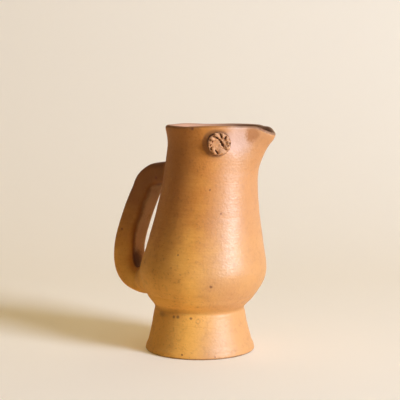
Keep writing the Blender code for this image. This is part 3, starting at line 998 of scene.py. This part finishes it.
def foot_layers(clay, tone):
    """The dark line on the edge that the pitcher stands on, partly toasted clay and partly painted contact
    shade.
    """
    # Partly toasted edge, partly painted contact shade under the foot
    sole = (clay.height + 1.2 * MM * clay.cloud).fall(0.5 * MM, 2.2 * MM)
    return (0.7 * sole).colour(ringed(clay, tone), UMBER), 0.07 + 0.1 * sole


coil_clay = fired_clay("coil_clay", coil_layers)
foot_clay = fired_clay("foot_clay", foot_layers)

# %% Layers of the handle
DUSK = paint(0.74, 0.500, 0.290)
STRAP_HALF = 15.5 * MM
TOP_SCORCH_AND_SHADE_HEIGHTS = (0.085, 0.165)
NECK_END = (-0.028, -0.018)
LOOP_SIDE = (-0.045, -0.030)
LOOP_FLOOR = (0.062, 0.080)
SLANT_HEIGHTS = (0.085, 0.125)
loop_corner = seen_at(strap, 136, 259)


def strap_layers(clay, tone):
    """The top, darker by scorch and painted shade, the inner face with painted shade along its edge, and
    painted shade in the corner at the bottom of the loop.
    """
    height = clay.height + 0.05 * clay.drift
    reach = clay.place.part(0)
    upper = 0.7 + 0.3 * clay.facing.part(2).rise(-0.3, 0.6)
    # Partly scorch, partly painted shade: the top of the strap by the neck is darker, more so on faces that
    # turn up
    top_scorch_and_shade = height.rise(*TOP_SCORCH_AND_SHADE_HEIGHTS) * reach.fall(*NECK_END) * upper
    tone = top_scorch_and_shade.colour(tone, TOAST_AND_SHADE)
    turned_in = clay.facing.part(0) + 0.25 * clay.cloud + 0.25 * clay.grain
    in_loop = reach.fall(*LOOP_SIDE) * (height + 8 * MM * clay.cloud).rise(*LOOP_FLOOR)
    slant = 5 * MM * height.fall(*SLANT_HEIGHTS)
    from_edge = clay.place.part(1) + STRAP_HALF + 3 * MM * clay.cloud - slant
    inner = turned_in.rise(0.02, 0.42) * in_loop * from_edge.rise(-2 * MM, 2 * MM)
    # Painted shade: a dark band along the edge of the inner face, fading into the pink inner colour further
    # in
    clear_of_edge_shade = turned_in.rise(0.35, 0.68) * from_edge.rise(1 * MM, 7 * MM)
    clear_of_edge_shade = clear_of_edge_shade * (0.95 + 1.1 * clay.cloud + 0.9 * clay.grain)
    tone = (0.9 * inner).colour(tone, clear_of_edge_shade.colour(TOAST_AND_SHADE, DUSK))
    near_corner = clay.place.distance(loop_corner) + 7 * MM * clay.cloud + 4 * MM * clay.grain
    # Painted shade in the corner at the bottom of the loop
    corner = near_corner.fall(3 * MM, 14 * MM) * (0.2 + 0.8 * inner)
    return (0.85 * corner).colour(tone, UMBER), 0.35 * inner + 0.05


strap_clay = fired_clay("handle_clay", strap_layers)

# %% Layers of the medallion
PALE = paint(0.52, 0.285, 0.170)
NICK_SHADE = paint(0.105, 0.030, 0.006)
rosette_middle = MEDALLION_CENTRE + ROSETTE_FACE * MEDALLION_OUT


def rosette_layers(clay, tone):
    """Pale clay, with painted shade on its side wall and in its nicks, and a painted shadow in its gouge."""
    tone = (0.6 + 0.5 * clay.cloud + 0.9 * clay.grain).colour(tone, PALE)
    face_height = clay.place.along(MEDALLION_OUT) - MEDALLION_CENTRE.dot(MEDALLION_OUT)
    from_middle = clay.place.distance(rosette_middle)
    # Painted shade on the side wall of the disc
    side = face_height.fall(3.2 * MM, 4.4 * MM) * from_middle.rise(9.5 * MM, 10.5 * MM)
    tone = (0.55 * side).colour(tone, TOAST_AND_SHADE)
    rough_height = face_height + 0.8 * MM * clay.grain
    # Painted shade in the nicks between the petals, and a painted shadow deep in the gouge by the hollow
    between = from_middle.rise(5.0 * MM, 6.2 * MM) * from_middle.fall(10.4 * MM, 11.6 * MM)
    low = rough_height.fall(3.4 * MM, 4.7 * MM)
    gouge_shadow = rough_height.fall(2.2 * MM, 3.5 * MM)
    return (0.9 * (between * low).or_more(gouge_shadow)).colour(tone, NICK_SHADE), 0.25 + 0.3 * low


rosette_clay = fired_clay("medallion_clay", rosette_layers)

# %% Hand over the pieces
DRESSED = [
    (body, "body", "body_clay", body_clay),
    (foot, "pedestal_foot", "foot_clay", foot_clay),
    (coil, "waist_coil", "body_clay", coil_clay),
    (strap, "handle", "handle_clay", strap_clay),
    (medallion, "medallion", "medallion_clay", rosette_clay),
]
for piece, node, slot, clay in DRESSED:
    piece.data.materials.clear()
    piece.data.materials.append(clay)
    only(piece)
    bpy.ops.object.shade_smooth()
    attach(piece, "root")
    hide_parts(node)
    print(piece.name, "stands for", node)

# %% [markdown]
# ## The table and the light
# The pitcher stands on a sheet of cream paper that runs up behind it with no edge. One large soft light from
# the right and above draws the pale band down its side and the long shadow to the left, and a weak warm one
# overhead fills the rest. The paper throws warm light back at the clay, but to the camera it is a pale grey
# with a cream glow of its own that grows with distance, and the world is as pale behind it. So the background
# stays light from every side while the pitcher gets no more light than it needs.

# %% Roll out the paper
PAPER_WIDTH = 14.0
PAPER_LENGTH = 10.0
BEND_START = 0.4
BEND_RADIUS = 1.6
BEND_STEPS = 24
EDGE_ROOM = 0.1
WALL_HEIGHT = 2.5
bpy.ops.object.select_all(action="DESELECT")
bpy.ops.mesh.primitive_plane_add(size=1)
paper = bpy.context.active_object
paper.name = "paper_sweep"
bpy.ops.object.mode_set(mode="EDIT")
bpy.ops.mesh.select_all(action="SELECT")
bpy.ops.transform.resize(value=(PAPER_WIDTH, PAPER_LENGTH, 1))
bpy.ops.transform.translate(value=(0, BEND_START - PAPER_LENGTH / 2, 0))
bpy.ops.object.mode_set(mode="OBJECT")


def at_the_back(edge):
    """Whether an edge of the sheet is the one that the bend starts from."""
    return min(paper.data.vertices[index].co.y for index in edge.vertices) > BEND_START - EDGE_ROOM


pick(paper, "EDGE", at_the_back)
stride = BEND_RADIUS * math.pi / 2 / BEND_STEPS
for step in range(BEND_STEPS):
    tilt = math.pi / 2 * (step + 0.5) / BEND_STEPS
    move = (0, stride * math.cos(tilt), stride * math.sin(tilt))
    bpy.ops.mesh.extrude_edges_move(TRANSFORM_OT_translate={"value": move})
bpy.ops.mesh.extrude_edges_move(TRANSFORM_OT_translate={"value": (0, 0, WALL_HEIGHT)})
bpy.ops.object.mode_set(mode="OBJECT")
paper.rotation_euler.z = CAMERA_TURN
bpy.ops.object.shade_smooth()
print("paper faces:", len(paper.data.polygons))

# %% Colour the paper
PAPER = paint(0.72, 0.72, 0.735)
WARM_PAPER = paint(0.95, 0.77, 0.48)
GLOW = paint(0.262, 0.173, 0.068)
FAR_GLOW = paint(0.70, 0.62, 0.51)
NO_GLOW = paint(0, 0, 0)
VIEW_MIDDLE = (0, 0.9, 0.2)
FAR_RANGE = (1.35, 3.8)
sheet = bpy.data.materials.new("cream_paper")
sheet.use_nodes = True
paper_surface = sheet.node_tree.nodes["Principled BSDF"]
paper_surface.inputs["Roughness"].default_value = 0.9
paper_surface.inputs["Specular IOR Level"].default_value = 0.1
paper_surface.inputs["Emission Strength"].default_value = 1
rays = Signal(sheet.node_tree)
seen = rays.node("ShaderNodeLightPath", output="Is Camera Ray").or_more(
    rays.node("ShaderNodeLightPath", output="Is Glossy Ray")
)
far = rays.node("ShaderNodeTexCoord", output="Object").distance(VIEW_MIDDLE).rise(*FAR_RANGE)
tint = seen.colour(WARM_PAPER, PAPER)
glow = seen.colour(NO_GLOW, far.colour(GLOW, FAR_GLOW))
sheet.node_tree.links.new(tint.socket, paper_surface.inputs["Base Color"])
sheet.node_tree.links.new(glow.socket, paper_surface.inputs["Emission Color"])
paper.data.materials.append(sheet)
print("paper nodes:", len(sheet.node_tree.nodes))

# %% Hang the lights
KEY_TURN = math.radians(52)
KEY_RISE = math.radians(21)
KEY_DISTANCE = 3.6
KEY_SIZE = (1.1, 2.7)
KEY_WATTS = 204
KEY_COLOUR = (0.86, 0.92, 1.0)
TOP_RISE = math.radians(88)
TOP_DISTANCE = 2.2
TOP_SIZE = (1.8, 1.8)
TOP_WATTS = 9
TOP_COLOUR = (1.0, 0.80, 0.50)
AIM = FOOT_AXIS + 0.11 * UP


def soft_light(name, turn, rise, distance, size, watts, colour):
    """A soft box, turned to the right of the camera and raised, that faces the pitcher."""
    level = math.cos(turn) * TO_CAMERA + math.sin(turn) * TO_RIGHT
    way = math.cos(rise) * level + math.sin(rise) * UP
    bpy.ops.object.light_add(type="AREA", location=AIM + distance * way)
    lamp = bpy.context.active_object
    lamp.name = name
    lamp.rotation_euler = way.to_track_quat("Z", "Y").to_euler()
    lamp.data.shape = "RECTANGLE"
    lamp.data.size, lamp.data.size_y = size
    lamp.data.energy = watts
    lamp.data.color = colour
    print(name, "at", tuple(round(value, 2) for value in lamp.location))


soft_light("key_light", KEY_TURN, KEY_RISE, KEY_DISTANCE, KEY_SIZE, KEY_WATTS, KEY_COLOUR)
soft_light("top_light", 0, TOP_RISE, TOP_DISTANCE, TOP_SIZE, TOP_WATTS, TOP_COLOUR)

# %% Dim the room
DIM = paint(0.030, 0.024, 0.016)
world = bpy.data.worlds.new("studio")
bpy.context.scene.world = world
world.use_nodes = True
sky = Signal(world.node_tree).node("ShaderNodeLightPath", output="Is Camera Ray").colour(DIM, FAR_GLOW)
world.node_tree.links.new(sky.socket, world.node_tree.nodes["Background"].inputs["Color"])
bpy.context.scene.view_settings.view_transform = "Standard"
print("world:", world.name)

# %% [markdown] ## The end The skins stand a little proud of the solids.
# The skins may stand a little proud of the solids, but not far.
